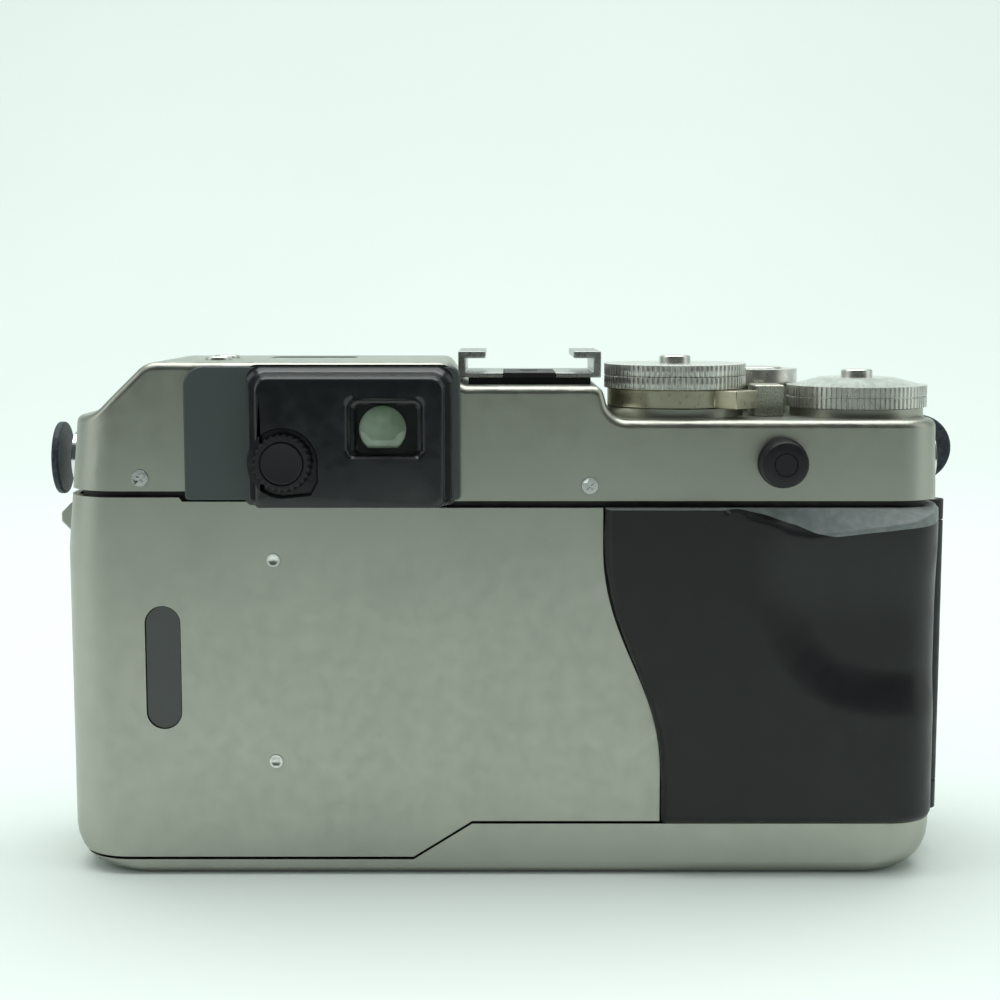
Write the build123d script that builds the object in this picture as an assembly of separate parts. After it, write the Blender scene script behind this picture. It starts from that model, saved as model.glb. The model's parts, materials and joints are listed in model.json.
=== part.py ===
from build123d import *
import os
from math import cos, sin, pi, sqrt, radians

# 35 mm autofocus rangefinder camera with an interchangeable lens.
# Frame: origin at the mouth of the tripod socket under the lens axis. +X is the
# photographer's right, +Y runs forward along the lens axis, +Z is up. Millimetres.

# --- Body shell -------------------------------------------------------------
left_end = 68.1           # lens axis to the left end of the body
back_depth = 14.0         # socket axis to the rear face
front_depth = 18.0        # socket axis to the front face
body_height = 75.4        # base to the top of the finder hump
wall = 1.0                # metal cover thickness
corner_left = 8.0         # upright corner radius, rear left
corner_right = 7.0        # the other upright corners
end_foot_r = 6.5          # rounding of the two ends into the base
long_foot_r = 2.2         # rounding of the long sides into the base
lean_start = 48.0         # height where the ends begin to lean inwards
lean_rate = 0.09          # left end, millimetres inwards per millimetre of height
lean_share = 0.3          # the right end leans this much of the left
top_edge_r = 1.2          # rounding round the top of the cover

# --- Top cover steps, below the finder hump ---------------------------------
shoe_drop = 3.4
shoulder_drop = 7.8
dial_drop = 8.3
seam_drop = 19.4          # rear door's top edge below the hump
seam_step = 1.5           # the door's top edge drops this much right of the eyepiece
seam_gap = 0.9            # open line between door and top cover
panel_gap = 0.4           # open line between the other covers

# --- Base cover -------------------------------------------------------------
base_rim = 2.4            # height of the base cover's rim, left and front
base_rise = 7.8           # height of the rim under the thumb grip and front grip
rise_start = -17.0        # foot of the rim's slope
rise_end = -8.4           # head of the rim's slope

# --- Lens axis, film and mount ----------------------------------------------
axis_z = 31.5
film_y = -8.0             # film plane
flange_y = 21.0           # lens seat, 29 mm in front of the film
mount_r = 24.0
mount_bore_r = 21.0
bayonet_r = 22.25
gate_w = 36.0
gate_h = 24.0

# --- Dials on the right deck -------------------------------------------------
dial_r = 10.6
focus_r = 10.4
knurl_teeth = 84
knurl_depth = 0.28
shoe_half = 10.4
index_w = 4.5
collar_r = 6.5
collar_gap = 0.47         # switch collar to the shutter dial's rim
shaft_fit = 0.05          # radial running clearance of every shaft and dial
touch_gap = 0.1           # axial clearance between turning pieces
seat_fit = 0.03           # radial gap of fixed round pieces in their seats

# --- Grip, hinge and door ------------------------------------------------------
grip_stand = 5.0          # front grip, forward of the front face
grip_start = 36.0
grip_wall = 1.6
thumb_stand = 2.2         # thumb grip, behind the rear face
hinge_r = 1.8
hinge_pin_r = 0.8
hinge_out = 1.2           # hinge axis outside the right end
frame_t = 1.3             # door's inner frame
door_side_y = 1.0         # forward edge of the door on the left end

# --- Small fittings ------------------------------------------------------------
screw_r = 1.2
window_r = 2.6
window_h = 18.2
lug_lift = 3.8            # strap lug above the door's top edge
lug_y = 8.0
lug_r = 4.15
lug_stem_r = 1.6
cap_r = 3.6
cell_r = 8.3              # lithium cell
cell_h = 34.2
cartridge_r = 13.0        # film cartridge with its clearance
spool_room_r = 9.4
sprocket_teeth = 5
sprocket_r = 3.7          # 5 perforations of 4.75 mm round its rim
socket_r = 3.175          # 1/4 inch tripod screw

# --- Worked out from the above -------------------------------------------------
top_z = body_height
shoe_z = top_z - shoe_drop
shoulder_z = top_z - shoulder_drop
dial_z = top_z - dial_drop
door_top = top_z - seam_drop
door_top_mid = door_top - 0.6
door_top_right = door_top - seam_step
cover_foot = door_top + seam_gap
cover_foot_right = door_top_right + seam_gap + 0.1
front_top = door_top_right - 0.5
step_x = shoe_half + 0.4
dial_x = step_x + 0.6 + dial_r
index_x = dial_x + dial_r + 0.7
focus_x = index_x + index_w + 1.2 + focus_r
right_end = focus_x + focus_r + 0.2
collar_x = (dial_x + focus_x) / 2
collar_y = sqrt((dial_r + collar_r + collar_gap) ** 2 - (collar_x - dial_x) ** 2)
hinge_x = right_end + hinge_out
rear_y = -back_depth
inner_y = rear_y + wall
frame_y = inner_y + frame_t
gate_z0 = axis_z - gate_h / 2
gate_z1 = axis_z + gate_h / 2
cartridge_x = -(left_end - 1.5 - 0.8 - cartridge_r)
sprocket_x = gate_w / 2 + 6.2
take_up_x = sprocket_x + 10.4
cell_x = right_end - grip_wall - cell_r - 0.1
cell_y = front_depth + grip_stand - grip_wall - cell_r - 0.6
cell_z = wall + 4.2
cell_hinge_x = cell_x - cell_r - 1.8
ear_places = (6.5, 15.0)  # the battery door's two hinge ears
ear_z = 0.45
ear_pin_r = 0.3
socket_top = 5.5
hump_x = -12.2            # right end of the finder hump
sync_x = collar_x + 0.5
sync_z = dial_z - 6.1
eyepiece_y = rear_y - 5.0
lug_z = door_top + lug_lift
finder_x0 = -25.0
finder_x1 = -15.2
finder_z0 = top_z - 13.4
finder_z1 = top_z - 5.4
diopter_x = -34.9
diopter_z = top_z - 14.0
diopter_r = 4.2
diopter_shaft_r = 1.5
rivet_x = -37.0
blade_h = 8.2
blade_step = 6.2
blade_count = 4
lens_seat = flange_y + 0.05
ring_y0 = flange_y + 5.1
ring_y1 = flange_y + 12.0
lens_end = flange_y + 35.0
lens_r = 26.0
core_r = 24.0
element_r = 15.0
filter_r = 23.0


def block(x0, x1, y0, y1, z0, z1):
    return Pos((x0 + x1) / 2, (y0 + y1) / 2, (z0 + z1) / 2) * Box(x1 - x0, y1 - y0, z1 - z0)


def post(x, y, r, z0, z1):
    return Pos(x, y, (z0 + z1) / 2) * Cylinder(r, z1 - z0)


def rod(x, z, r, y0, y1):
    return Pos(x, (y0 + y1) / 2, z) * Rot(90, 0, 0) * Cylinder(r, y1 - y0)


def bar(y, z, r, x0, x1):
    return Pos((x0 + x1) / 2, y, z) * Rot(0, 90, 0) * Cylinder(r, x1 - x0)


def tube(x, z, outer, inner, y0, y1):
    return rod(x, z, outer, y0, y1) - rod(x, z, inner, y0 - 1, y1 + 1)


def upright_slot(x, z, half_w, height, y0, y1):
    """A stadium standing upright in the XZ plane, from y0 to y1."""
    straight = height / 2 - half_w
    body = block(x - half_w, x + half_w, y0, y1, z - straight, z + straight)
    return body + rod(x, z - straight, half_w, y0, y1) + rod(x, z + straight, half_w, y0, y1)


def face_on_xz(points, radii):
    return Plane.XZ * make_face(FilletPolyline(*points, radius=radii, close=True))


def through(sketch):
    """The sketch pushed right through the body, front to back."""
    return extrude(sketch, amount=2 * (front_depth + back_depth), both=True)


def knurled(x, y, r, z0, z1):
    """A disc with fine teeth round its rim."""
    rim = []
    for tooth in range(knurl_teeth):
        for part, depth in ((0.0, 0.0), (0.5, 0.0), (0.62, knurl_depth), (0.88, knurl_depth)):
            turn = 2 * pi * (tooth + part) / knurl_teeth
            rim.append((x + (r - depth) * cos(turn), y + (r - depth) * sin(turn)))
    return extrude(Pos(0, 0, z0) * make_face(Polyline(*rim, close=True)), amount=z1 - z0)


def plan(z, inset, gripped, stand=0.0):
    """The body's outline from above at height z, shrunk by inset."""
    lean = lean_rate * max(0.0, z - lean_start)
    foot = min(1.0, max(0.0, (z - inset) / (end_foot_r - inset)))
    end_in = (end_foot_r - inset) * (1 - sqrt(1 - (1 - foot) ** 2))
    foot = min(1.0, max(0.0, (z - inset) / (long_foot_r - inset)))
    side_in = (long_foot_r - inset) * (1 - sqrt(1 - (1 - foot) ** 2))
    left = left_end - lean - end_in - inset
    right = right_end - lean * lean_share - end_in - inset
    back = back_depth + stand - side_in - inset
    front = front_depth - side_in - inset
    rear_left = corner_left - inset
    rear_right = corner_right - inset
    if gripped:
        nose = front + grip_stand
        ramp = grip_stand * 0.9
        start = grip_start + inset * 0.4
        points = [(-left, -back), (right, -back), (right, nose), (start + ramp, nose), (start, front),
                  (-left, front)]
        radii = [rear_left, rear_right, rear_right, 3.0, 3.0, rear_right]
    else:
        points = [(-left, -back), (right, -back), (right, front), (-left, front)]
        radii = [rear_left, rear_right, rear_right, rear_right]
    return Pos(0, 0, z) * make_face(FilletPolyline(*points, radius=radii, close=True))


def envelope(inset=0.0, gripped=False, stand=0.0):
    """The lower body's outer form, shrunk by inset."""
    arc = [end_foot_r * (1 - cos(radians(step))) for step in (0, 14, 26, 37, 48, 60, 75, 90)]
    levels = [inset + (end_foot_r - inset) * level / end_foot_r for level in arc]
    levels += [lean_start, top_z]
    return loft([plan(level, inset, gripped, stand) for level in levels], ruled=True)


def crown(inset=0.0):
    """The outline of the top cover seen from behind, shrunk by inset."""
    far = left_end + 20
    hump_left = -left_end + 13.2
    slope_foot = hump_left - (top_z - shoulder_z) - 0.2
    points = [(-far, lean_start - 8), (-far, shoulder_z), (slope_foot, shoulder_z), (hump_left, top_z),
              (hump_x, top_z), (hump_x + 2.4, shoe_z), (step_x - 0.6, shoe_z), (step_x + 0.8, dial_z),
              (far, dial_z), (far, lean_start - 8)]
    radii = [0.1, 0.1, 5.0, 4.0, 1.9, 1.9, 1.6, 3.2, 0.1, 0.1]
    outline = face_on_xz(points, radii)
    if inset:
        outline = offset(outline, amount=-inset)
    return through(outline)


def top_form(inset=0.0):
    """The top cover's outer form, shrunk by inset."""
    tower = loft([plan(level, inset, False) for level in (lean_start, top_z + 4)], ruled=True)
    return tower & crown(inset)


def above_seam():
    """Everything above the line where the top cover ends."""
    far = left_end + 20
    rear = [(-far, cover_foot), (hump_x, cover_foot), (hump_x + 1.2, cover_foot_right),
            (far, cover_foot_right), (far, 2 * top_z), (-far, 2 * top_z)]
    rear_part = through(Plane.XZ * make_face(Polyline(*rear, close=True)))
    rear_part = rear_part & block(-far, far, -99, door_side_y + panel_gap, 0, 2 * top_z)
    return rear_part + block(-far, far, door_side_y + panel_gap, 99, front_top + panel_gap, 2 * top_z)


def below_rim(lift, front_too=True):
    """Everything under the base cover's rim, raised by lift."""
    far = left_end + 20
    rear = [(-far, -9), (-far, base_rim + lift), (rise_start, base_rim + lift),
            (rise_end, base_rise + lift), (far, base_rise + lift), (far, -9)]
    low = through(Plane.XZ * make_face(Polyline(*rear, close=True)))
    low = low & block(-far, far, -99, door_side_y, -9, 99)
    if front_too:
        low = low + block(-far, grip_start, door_side_y, 99, -9, base_rim + lift)
        low = low + block(grip_start, far, door_side_y, 99, -9, base_rise + lift)
    return low


def thumb_zone(gap=0.0):
    """The part of the rear face under the thumb grip, right of its S-shaped edge."""
    high = (dial_x - 11.45 + gap, door_top + 9)
    bend = (dial_x - 11.45 + gap, axis_z + 17.5)
    middle = (dial_x - 7.1 + gap, axis_z + 0.3)
    low = (dial_x - 2.9 + gap, axis_z - 16.0)
    foot = (dial_x - 2.9 + gap, -9)
    edge = [Line(high, bend), Spline(bend, middle, low, tangents=[(0, -1), (0, -1)]), Line(low, foot),
            Line(foot, (right_end + 9, -9)), Line((right_end + 9, -9), (right_end + 9, door_top + 9)),
            Line((right_end + 9, door_top + 9), high)]
    return through(Plane.XZ * make_face(edge))


def door_zone():
    """The space the rear door fills, from above the rim to under the top cover."""
    far = left_end + 20
    head = [(-far, 0), (-far, door_top), (-50.4, door_top), (-50.0, door_top_mid), (-40.2, door_top_mid),
            (-39.0, door_top_right), (far, door_top_right), (far, 0)]
    zone = through(Plane.XZ * make_face(Polyline(*head, close=True)))
    zone = zone & block(-far, far, -99, door_side_y, 0, 99)
    zone = zone - block(left_end / 2, far, -hinge_r - 1.8, 99, 0, 99)
    return zone - below_rim(panel_gap, front_too=False)


def top_cover():
    form = top_form()
    rim = [edge for edge in form.edges()
           if edge.bounding_box().min.Z > door_top + 4
           and edge.bounding_box().max.Z - edge.bounding_box().min.Z < top_z / 3
           and edge.bounding_box().max.Y - edge.bounding_box().min.Y < back_depth + front_depth - 0.5]
    form = fillet(rim, top_edge_r)
    shell = form - top_form(wall)
    shell = shell & above_seam()
    shell = shell + post(dial_x, 0, dial_r - 0.3, dial_z - wall, dial_z + 1.3)
    shell = shell + post(focus_x, 0, focus_r - 0.5, dial_z - wall, dial_z + 1.2)
    shell = shell + post(collar_x, collar_y, collar_r - 0.5, dial_z - wall, dial_z + 3.9)
    shell = shell - (post(dial_x, 0, dial_r + 0.35, dial_z + 1.3, top_z + 9))
    shell = shell - post(dial_x, 0, 4.0 + shaft_fit, dial_z - 3, dial_z + 9)
    shell = shell - post(focus_x, 0, 2.4 + shaft_fit, dial_z - 3, dial_z + 9)
    shell = shell - post(collar_x, collar_y, 2.0 + shaft_fit, dial_z - 3, dial_z + 9)
    for x, y in button_places():
        shell = shell - post(x, y, 2.0 + shaft_fit, top_z - 3, top_z + 3)
    shell = shell - counter_shape(0.05, 3)
    shell = shell - block(finder_x0 - 0.6, finder_x1 + 0.6, rear_y - 1, inner_y + 1, finder_z0 - 0.5, finder_z1 + 0.5)
    for x0, x1, z0, z1 in window_places():
        shell = shell - block(x0, x1, front_depth - 3, front_depth + 3, z0, z1)
    shell = shell - rod(30.0, sync_z, 2.0, front_depth - 3, front_depth + 3)
    shell = shell - rod(sync_x, sync_z, 3.0, rear_y - 1, inner_y + 1)
    for x, z in rear_screw_places():
        shell = shell - rod(x, z, screw_r + 0.05, rear_y - 1, inner_y + 1)
    shell = shell - rod(0, axis_z, mount_r + shaft_fit, 0, 99)
    shell = shell - bar(lug_y, lug_z, lug_stem_r, -left_end - 2, -left_end + 4)
    return shell - bar(lug_y, lug_z, lug_stem_r, right_end - 4, right_end + 2)


def button_places():
    return [(-46.0, -3.5), (-46.0, 4.5)]


def counter_shape(gap, depth):
    window = Pos(-33.0, 8.0, 0) * RectangleRounded(13.0 + 2 * gap, 7.0 + 2 * gap, 1.2)
    return extrude(Pos(0, 0, top_z - 0.1 - depth + gap * 4) * window, amount=depth)


def window_places():
    """Front openings of the finder and of the two focusing sensors."""
    low, mid = finder_z0 - 1.2, finder_z0 + 4.4
    return [(finder_x0 - 2, finder_x1 + 1.7, finder_z0 - 1.5, finder_z1 + 0.5), (-9.0, -3.6, low, mid),
            (3.6, 9.0, low, mid)]


def rear_screw_places():
    return [(-left_end + 12.1, door_top + 2.8), (8.6, door_top + 1.7)]


def base_screw_places():
    return [(-left_end + 9, -6.5), (-left_end + 9, 11.5), (18.0, -8.5), (24.0, 13.0)]


def base_cover():
    form = envelope(gripped=True) - envelope(wall, gripped=True)
    shell = form & below_rim(0)
    shell = shell + post(0, 0, 7.5, 0.5, wall + 0.6)
    shell = shell - post(0, 0, 5.0, -1, 9)
    shell = shell - battery_door_zone(0.3)
    for y in ear_places:
        shell = shell - block(cell_hinge_x - 0.6, cell_hinge_x + 1, y - 1.7, y + 1.7, -1, 9)
    shell = shell + rod(cell_hinge_x, ear_z, ear_pin_r, ear_places[0] - 2.5, ear_places[1] + 2.5)
    shell = shell - post(hinge_x, 0, hinge_r + 0.15, -1, 99)
    shell = shell - block(right_end - 3, hinge_x, -0.2, 2.1, hinge_foot() - 0.15, 99)
    for x, y in base_screw_places():
        shell = shell - post(x, y, screw_r + 0.05, -1, 9)
    return shell


def hinge_foot():
    return base_rise - 1.4


def front_cover():
    form = envelope() - envelope(wall)
    low = below_rim(panel_gap)
    shell = form - low
    shell = shell & block(-99, grip_start, door_side_y + panel_gap, 99, 0, front_top)
    shell = shell - rod(0, axis_z, mount_r + shaft_fit, 0, 99)
    x, z = release_place()
    shell = shell - rod(x, z, 3.2 + shaft_fit, 0, 99)
    return shell - latch_slot()


def latch_slot():
    return block(-left_end - 3, -left_end + 4, lug_y - 1.1, lug_y + 1.1, 43.4, 52.0)


def front_grip():
    hollow = envelope(grip_wall, gripped=True) & block(0, 99, -99, 99, 0, front_top - grip_wall)
    form = envelope(gripped=True) - hollow - envelope(wall) - below_rim(panel_gap)
    return form & block(grip_start + 0.1, 99, hinge_r + 0.6, 99, 0, front_top)


def door_panel():
    shell = envelope() - envelope(wall)
    shell = shell & door_zone()
    shell = shell - thumb_zone()
    shell = shell - upright_slot(cartridge_x - 0.4, axis_z - 0.4, window_r, window_h, rear_y - 1, inner_y + 1)
    for z in rivet_heights():
        shell = shell - rod(rivet_x, z, 1.0, rear_y - 1, inner_y + 1)
    return shell


def rivet_heights():
    return (axis_z + 15.4, axis_z - 14.3)


def thumb_grip():
    form = envelope(stand=thumb_stand) - envelope(wall)
    form = form & door_zone()
    return form & thumb_zone(0.12)


def door_frame():
    z0 = base_rise + 1.6
    z1 = door_top_right - 1.2
    plate = block(-left_end + corner_left + 0.3, right_end - corner_right, inner_y, frame_y, z0, z1)
    bend = (envelope(wall + 0.03) - envelope(wall + frame_t)) & block(0, 99, -99, -hinge_r - 1.0, z0, z1)
    frame = plate + bend
    web = block(right_end - wall - frame_t, hinge_x, -hinge_r - 1.6, -0.9, knuckle_low(), knuckle_high())
    frame = frame + web + post(hinge_x, 0, hinge_r, knuckle_low(), knuckle_high())
    frame = frame - post(hinge_x, 0, hinge_pin_r + shaft_fit, 0, 99)
    frame = frame - upright_slot(cartridge_x - 0.4, axis_z - 0.4, window_r, window_h, inner_y - 1, frame_y + 1)
    for z in rivet_heights():
        frame = frame - rod(rivet_x, z, 1.0, inner_y - 1, frame_y + 1)
    return frame


def knuckle_low():
    return base_rise + 3.1


def knuckle_high():
    return door_top_right - 3.5


def hinge_bracket():
    pieces = []
    for z0, z1 in ((hinge_foot(), knuckle_low() - 0.2), (knuckle_high() + 0.2, front_top + 0.3)):
        leaf = block(right_end - 2.8, hinge_x, 0.0, 1.7, z0, z1)
        knuckle = leaf + post(hinge_x, 0, hinge_r, z0, z1)
        pieces.append(knuckle - post(hinge_x, 0, hinge_pin_r, 0, 99))
    return Compound(children=[solid for piece in pieces for solid in piece.solids()])


def hinge_pin():
    return post(hinge_x, 0, hinge_pin_r, hinge_foot(), front_top + 0.3)


def film_window():
    shape = upright_slot(cartridge_x - 0.4, axis_z - 0.4, window_r - 0.05, window_h - 0.1,
                         rear_y + 0.3, frame_y)
    return shape


def door_rivets():
    dish = 0.2
    solids = []
    for z in rivet_heights():
        pin = rod(rivet_x, z, 0.97, rear_y - 0.15, frame_y - 0.1)
        pin = pin - Pos(rivet_x, rear_y - 1.35, z) * Sphere(1.2 + dish)
        solids += pin.solids()
    return Compound(children=solids)


def pressure_plate():
    plate = block(-30, gate_w / 2 + 1.4, film_y - 1.9, film_y - 0.25, axis_z - 19, axis_z + 19)
    return fillet(plate.edges().filter_by(Axis.Y), 2.0)


def pressure_springs():
    """Bowed leaves between the door frame and the pressure plate."""
    solids = []
    foot, crest, leaf_t, reach = frame_y + 0.02, film_y - 1.92, 0.25, 7.0
    for z in rivet_heights():
        for x in (-20.0, 8.0):
            left, right = x - reach, x + reach
            ends = [Line((left - 2, foot), (left + 0.3, foot)), Line((right - 0.3, foot), (right + 2, foot)),
                    Line((right + 2, foot), (right + 2, foot + leaf_t)),
                    Line((right + 2, foot + leaf_t), (right, foot + leaf_t)),
                    Line((left, foot + leaf_t), (left - 2, foot + leaf_t)),
                    Line((left - 2, foot + leaf_t), (left - 2, foot))]
            under = ThreePointArc((left + 0.3, foot), (x, crest - leaf_t), (right - 0.3, foot))
            over = ThreePointArc((right, foot + leaf_t), (x, crest), (left, foot + leaf_t))
            leaf = extrude(Pos(0, 0, z - 2) * make_face(ends + [under, over]), amount=4)
            solids += leaf.solids()
    return Compound(children=solids)


def film_gate():
    x0, x1 = -gate_w / 2 - 15, gate_w / 2 + 1.8
    plate = block(x0, x1, film_y + 0.4, film_y + 2.4, 8.6, 52.4)
    for side in (-1, 1):
        for near, far, height in ((13.2, 15.0, film_y), (18.0, 20.0, film_y - 0.2)):
            low, high = sorted((axis_z + side * near, axis_z + side * far))
            plate = plate + block(x0 + 1, x1, height, film_y + 1, low, high)
    return plate - block(-gate_w / 2, gate_w / 2, film_y - 1, 0, gate_z0, gate_z1)


def shutter_frame():
    x0, x1 = -gate_w / 2 - 14.8, gate_w / 2 + 1.7
    case = block(x0, x1, film_y + 2.5, film_y + 5.4, 9.0, 52.0)
    case = case - block(-gate_w / 2 - 0.9, gate_w / 2 + 0.9, film_y + 3.0, film_y + 4.9, 9.8, gate_z1 + 1.6)
    return case - block(-gate_w / 2 - 0.4, gate_w / 2 + 0.4, film_y, 0, gate_z0 - 0.3, gate_z1 + 0.3)


def blade_top(number):
    return gate_z1 + 0.8 - blade_step * number


def shutter_blade(number):
    y = film_y + 3.2 + 0.4 * number
    top = blade_top(number)
    return block(-gate_w / 2 - 0.7, gate_w / 2 + 0.7, y, y + 0.2, top - blade_h, top)


def chassis():
    x0, x1 = -left_end + 1.5, right_end - 2.8
    z0, z1 = wall + 0.6, front_top - 0.4
    core = block(x0, x1, film_y + 0.4, front_depth - wall, z0, z1)
    core = core - block(grip_start - 0.5, 99, front_depth - grip_wall - 0.1, 99, 0, 99)
    core = core & envelope(wall)
    deck = envelope(wall + 0.5) & block(-99, 99, inner_y + 0.4, 99, z1, cover_foot + 0.1)
    deck = deck - block(right_end - 3, 99, -0.3, 2.1, 0, front_top + 0.6)
    core = core + deck
    low, high = 6.0, axis_z + 21.0
    core = core - post(cartridge_x, 2.0, cartridge_r, low, high)
    core = core - block(cartridge_x - cartridge_r, cartridge_x + cartridge_r, -20, 2.0, low, high)
    core = core - post(cartridge_x, 2.0, 2.0, 0, 9)
    core = core - post(take_up_x, 1.5, spool_room_r, 8.0, 51.0)
    core = core - block(take_up_x - spool_room_r, take_up_x + spool_room_r, -20, 1.5, 8.0, 51.0)
    core = core - post(take_up_x, 1.5, 1.6, 0, 99)
    core = core - post(sprocket_x, -4.2, 4.4, 8.0, 51.0)
    core = core - block(sprocket_x - 4.4, sprocket_x + 4.4, -20, -4.2, 8.0, 51.0)
    core = core - post(sprocket_x, -4.2, 1.6, 0, 99)
    core = core - block(-gate_w / 2 - 15.1, gate_w / 2 + 1.9, -20, film_y + 5.5, 8.5, 52.5)
    core = core - block(-gate_w / 2 - 1, gate_w / 2 + 1, -20, 6, gate_z0 - 1, gate_z1 + 1)
    core = core - rod(0, axis_z, bayonet_r + 0.6, 4.0, 99)
    core = core - post(cell_x, cell_y, cell_r + 0.35, -1, cell_z + cell_h + 0.8)
    core = core - block(cell_hinge_x - 1.4, 99, 1.6, 99, -1, cell_z - 0.2)
    core = core - post(motor_x(), motor_y(), 4.75, -1, 46)
    core = core - post(0, 0, 6.0, -1, socket_top + 0.1)
    x, z = release_place()
    core = core - rod(x, z, 3.4, 11.5, 99)
    pin_x, pin_z = pin_place()
    core = core - rod(pin_x, pin_z, 0.8, 12.0, 99)
    for x, y in base_screw_places():
        core = core - post(x, y, 0.65, -1, base_rim + 1.2)
    return core - block(-left_end - 3, -left_end + 3.6, lug_y - 1.6, lug_y + 1.6, 40.5, front_top - 0.3)


def motor_x():
    return right_end - 8.5


def motor_y():
    return cell_y - cell_r - 6.2


def film_motor():
    return (post(motor_x(), motor_y(), 4.6, 12, 45.5) + post(motor_x(), motor_y(), 1.0, 8, 12)
            + post(motor_x(), motor_y(), 3.2, 8.5, 10.5))


def release_place():
    return (-27.5, axis_z - 11.5)


def pin_place():
    turn = radians(205)
    return (23.05 * cos(turn), axis_z + 23.05 * sin(turn))


def sector(radius, middle, half, y0, y1):
    """A wedge of a disc on the lens axis, half degrees either side of middle."""
    start = radians(middle - half)
    mid = radians(middle)
    stop = radians(middle + half)
    points = [(radius * cos(turn), axis_z + radius * sin(turn)) for turn in (start, mid, stop)]
    edge = [Line((0, axis_z), points[0]), ThreePointArc(*points), Line(points[2], (0, axis_z))]
    wedge = extrude(Plane.XZ * make_face(edge), amount=-(y1 - y0))
    return Pos(0, y0, 0) * wedge


def mount_ring():
    ring = tube(0, axis_z, mount_r, mount_bore_r, front_depth - wall, flange_y)
    ring = ring - rod(0, axis_z, bayonet_r, front_depth - wall - 1, flange_y - 1.8)
    for tab in range(3):
        ring = ring - sector(bayonet_r - 0.05, 30 + 120 * tab, 23, flange_y - 3, flange_y + 1)
    x, z = pin_place()
    return ring - rod(x, z, 0.65 + shaft_fit, 0, 99)


def lens_lock_pin():
    x, z = pin_place()
    return rod(x, z, 0.65, 15.5, flange_y + 1.1)


def lens_release_button():
    x, z = release_place()
    button = rod(x, z, 3.2, front_depth - 3.2, front_depth + 2.4)
    button = chamfer(button.edges().group_by(Axis.Y)[-1], 0.4)
    return button


def lens_barrel():
    body = rod(0, axis_z, lens_r, lens_seat, ring_y0 - touch_gap)
    body = body + rod(0, axis_z, core_r, ring_y0 - 1, lens_end - 3.1)
    body = body + rod(0, axis_z, mount_bore_r - 0.2, front_depth - wall - 2.5, lens_seat + 1)
    for tab in range(3):
        body = body + sector(bayonet_r - 0.15, 90 + 120 * tab, 20, flange_y - 3.9, flange_y - 1.9)
    body = body - rod(0, axis_z, element_r, 0, lens_end + 1)
    bell = Pos(0, lens_end - 6.0, axis_z) * Rot(-90, 0, 0) * Cone(element_r, 21.0, 6.2)
    body = body - bell
    slot = sector(23.05 + 0.95, 205 + 30, 36, lens_seat - 0.5, lens_seat + 1.6)
    slot = slot - sector(23.05 - 0.95, 205 + 30, 50, lens_seat - 0.6, lens_seat + 1.7)
    return body - slot


def aperture_ring():
    ring = Rot(90, 0, 0) * knurled(0, axis_z, lens_r + 0.4, -ring_y1, -ring_y0)
    return ring - rod(0, axis_z, core_r + shaft_fit, 0, 99)


def lens_front():
    y0 = ring_y1 + touch_gap
    ring = rod(0, axis_z, lens_r, y0, lens_end)
    ring = chamfer(ring.edges().group_by(Axis.Y)[-1], 1.0)
    ring = ring - rod(0, axis_z, core_r + seat_fit, y0 - 1, lens_end - 3.1)
    return ring - rod(0, axis_z, filter_r, y0, lens_end + 1)


def lens_elements():
    """The front and rear lenses, each a disc with one domed face."""
    dome = 2.2
    ball = (element_r ** 2 + dome ** 2) / (2 * dome)
    front = rod(0, axis_z, element_r - seat_fit, lens_end - 10.0, lens_end - 4.0)
    front = front & Pos(0, lens_end - 4.0 - ball, axis_z) * Sphere(ball)
    rear = rod(0, axis_z, element_r - seat_fit, front_depth - 4.0, front_depth + 1.5)
    rear = rear & Pos(0, front_depth - 4.0 + ball, axis_z) * Sphere(ball)
    return Compound(children=front.solids() + rear.solids())


def take_up_spool():
    spool = post(take_up_x, 1.5, 4.5, 9.0, 50.0)
    spool = spool + post(take_up_x, 1.5, 8.6, 8.3, 9.5) + post(take_up_x, 1.5, 8.6, 49.4, 50.6)
    spool = spool + post(take_up_x, 1.5, 1.55, base_rim + 1.2, front_top - 0.6)
    return spool - block(take_up_x - 0.4, take_up_x + 0.4, -9, 0.5, 20, 43)


def sprocket():
    wheel = post(sprocket_x, -4.2, 3.0, 9.0, 50.0) + post(sprocket_x, -4.2, 1.55, base_rim + 1.2, front_top - 0.6)
    for z in (axis_z - 14.1, axis_z + 14.1):
        wheel = wheel + post(sprocket_x, -4.2, sprocket_r, z - 1.6, z + 1.6)
        for tooth in range(sprocket_teeth):
            turn = 360 / sprocket_teeth * tooth
            fang = Pos(sprocket_x, -4.2, z) * Rot(0, 0, turn) * Pos(sprocket_r, 0, 0) * Box(1.1, 0.9, 1.6)
            wheel = wheel + fang
    return wheel


def rewind_fork():
    fork = post(cartridge_x, 2.0, 1.95, base_rim + 1.2, 6.2) + post(cartridge_x, 2.0, 3.4, 6.15, 7.4)
    return fork + block(cartridge_x - 3.0, cartridge_x + 3.0, 1.4, 2.6, 7.3, 9.6)


def battery():
    cell = post(cell_x, cell_y, cell_r, cell_z, cell_z + cell_h)
    return cell + post(cell_x, cell_y, 3.2, cell_z + cell_h, cell_z + cell_h + 0.6)


def battery_door_zone(gap=0.0):
    """The corner of the base that opens over the cell."""
    return block(cell_hinge_x + 0.5 - gap, 99, 3.4 - gap, 99, -1, 4.4 + gap)


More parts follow.
